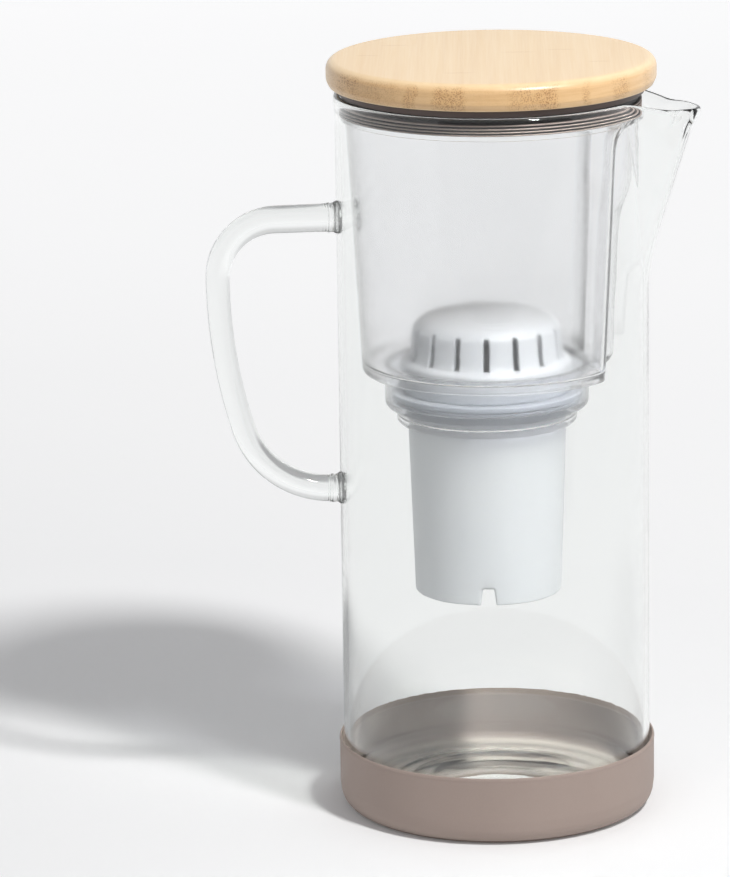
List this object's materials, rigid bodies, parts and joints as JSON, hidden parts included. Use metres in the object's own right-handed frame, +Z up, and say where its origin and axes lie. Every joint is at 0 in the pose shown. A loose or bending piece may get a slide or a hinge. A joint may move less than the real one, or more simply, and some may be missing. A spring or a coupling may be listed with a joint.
{
  "type": "water filter pitcher",
  "caption": "Straight glass jug with a drawn spout, rod handle and soft boot; a frosted hopper with a drop-in filter cartridge hangs from its rim under a lift-off wooden lid.",
  "frame": {"origin": "middle of the boot's underside, on the jug's axis, in the plane of the table", "axes": "+Z up along the jug's axis, +X towards the spout, -X towards the handle"},
  "size_m": [0.1918, 0.1262, 0.2963],
  "materials": {
    "clear_glass": "clear fire-polished glass",
    "taupe_silicone": "matt taupe silicone",
    "frosted_plastic": "clear plastic with a light frost",
    "dark_silicone": "matt dark brown silicone",
    "bamboo": "oiled laminated bamboo",
    "white_plastic": "satin white plastic",
    "grey_silicone": "matt grey silicone",
    "screen_mesh": "fine woven mesh",
    "carbon_granules": "loose black granules",
    "resin_beads": "loose amber beads"
  },
  "bodies": {
    "jug": {"glass_jug": "clear_glass", "handle": "clear_glass", "base_boot": "taupe_silicone"},
    "insert": {"hopper": "frosted_plastic", "rim_gasket": "dark_silicone"},
    "lid": {"lid_board": "bamboo", "lid_seal": "dark_silicone"},
    "cartridge": {"cartridge_cup": "white_plastic", "cartridge_cap": "white_plastic", "cartridge_gasket": "grey_silicone", "top_screen": "screen_mesh", "bottom_screen": "screen_mesh", "carbon_fill": "carbon_granules", "resin_fill": "resin_beads"}
  },
  "joints": [
    {"name": "hopper_lift", "type": "slide", "parent": "jug", "child": "insert", "axis": [0, 0, 1], "range_m": [0, 0.2]},
    {"name": "lid_lift", "type": "slide", "parent": "insert", "child": "lid", "axis": [0, 0, 1], "range_m": [0, 0.06]},
    {"name": "cartridge_lift", "type": "slide", "parent": "insert", "child": "cartridge", "axis": [0, 0, 1], "range_m": [0, 0.075]}
  ]
}
